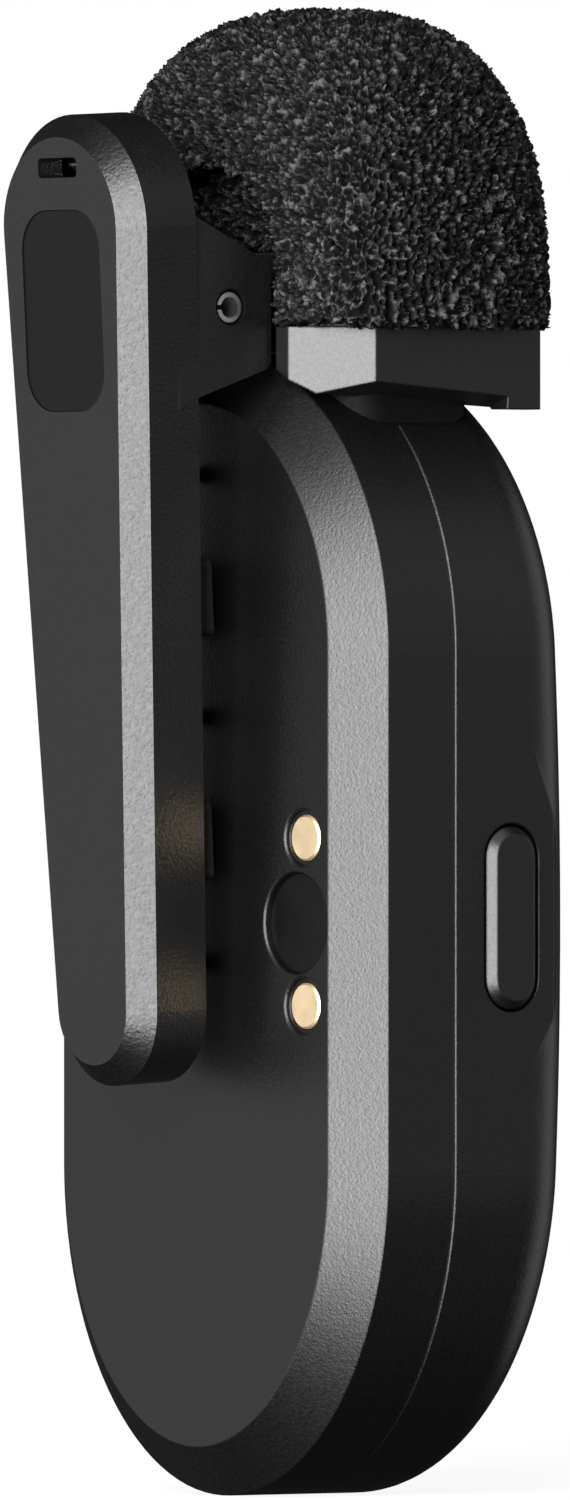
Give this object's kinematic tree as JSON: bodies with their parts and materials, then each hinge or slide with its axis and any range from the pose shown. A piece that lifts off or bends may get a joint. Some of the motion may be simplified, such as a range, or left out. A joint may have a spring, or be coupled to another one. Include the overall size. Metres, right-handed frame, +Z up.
{
  "type": "clip-on wireless lavalier microphone",
  "caption": "Wireless lavalier microphone: flat capsule-shaped transmitter with a foam-covered microphone neck, a sprung garment clip on the back and a mute button on the side.",
  "frame": {"origin": "on the body's flat back face, on its centre line, where the clip's lowest nub grips", "axes": "+Z up along the body towards the microphone, +Y out of the back face towards the clip, -X the mute button's side"},
  "size_m": [0.0215, 0.0198, 0.0596],
  "materials": {
    "body_plastic": "satin black, fine mould grain",
    "seal_rubber": "soft silicone",
    "neck_plastic": "satin black",
    "capsule_can": "drawn can",
    "grille_steel": "perforated, blackened",
    "flex_polyimide": "amber film",
    "gold_plate": "gold plated",
    "spring_brass": "spring temper",
    "disc_gloss": "smooth black",
    "magnet_nickel": "nickel plated",
    "board_laminate": "solder mask",
    "screw_steel": "zinc plated",
    "chip_epoxy": "moulded epoxy",
    "shield_steel": "tin plated",
    "switch_plastic": "moulded",
    "battery_pouch": "laminate pouch",
    "tape_film": "foam tape",
    "button_plastic": "satin black",
    "bracket_plastic": "satin black",
    "clip_plastic": "satin black, coarse mould grain",
    "pad_rubber": "smooth black inlay",
    "grip_rubber": "black moulded rubber",
    "pin_steel": "spring steel, oiled",
    "spring_steel": "music wire",
    "foam": "open-cell reticulated foam",
    "ring_plastic": "satin black"
  },
  "bodies": {
    "transmitter": {"rear_housing": "body_plastic", "front_housing": "body_plastic", "housing_gasket": "seal_rubber", "microphone_neck": "neck_plastic", "microphone_capsule": "capsule_can", "capsule_boot": "seal_rubber", "microphone_grille": "grille_steel", "capsule_flex": "flex_polyimide", "charging_contacts": "gold_plate", "contact_springs": "spring_brass", "locating_disc": "disc_gloss", "docking_magnet": "magnet_nickel", "main_board": "board_laminate", "board_screws": "screw_steel", "board_chips": "chip_epoxy", "rf_shield": "shield_steel", "antenna": "spring_brass", "tact_switch": "switch_plastic", "battery": "battery_pouch", "battery_tape": "tape_film", "battery_protection_board": "board_laminate", "button_seal": "seal_rubber"},
    "button": {"mute_button": "button_plastic"},
    "bracket": {"clip_bracket": "bracket_plastic"},
    "clip": {"clip_arm": "clip_plastic", "thumb_pad": "pad_rubber", "grip_strip": "grip_rubber", "hinge_roll_pin": "pin_steel", "torsion_spring": "spring_steel"},
    "windscreen": {"foam_windscreen": "foam", "windscreen_ring": "ring_plastic"}
  },
  "joints": [
    {"name": "mute_button_press", "type": "slide", "parent": "transmitter", "child": "button", "axis": [1, 0, 0], "range_m": [0, 0.0003], "stiffness_N_per_m": 600, "springref_m": -0.0005},
    {"name": "clip_bracket_lift", "type": "slide", "parent": "transmitter", "child": "bracket", "axis": [0, 0, 1], "range_m": [0, 0.012]},
    {"name": "clip_arm_pivot", "type": "hinge", "parent": "bracket", "child": "clip", "pos_m": [0, 0.00154, 0.02626], "axis": [1, 0, 0], "range_deg": [0, 14], "stiffness_Nm_per_rad": 0.15, "springref_deg": -20.05, "deforming": ["torsion_spring"]},
    {"name": "windscreen_pull_off", "type": "slide", "parent": "bracket", "child": "windscreen", "axis": [0, 0, 1], "range_m": [0, 0.01]}
  ]
}
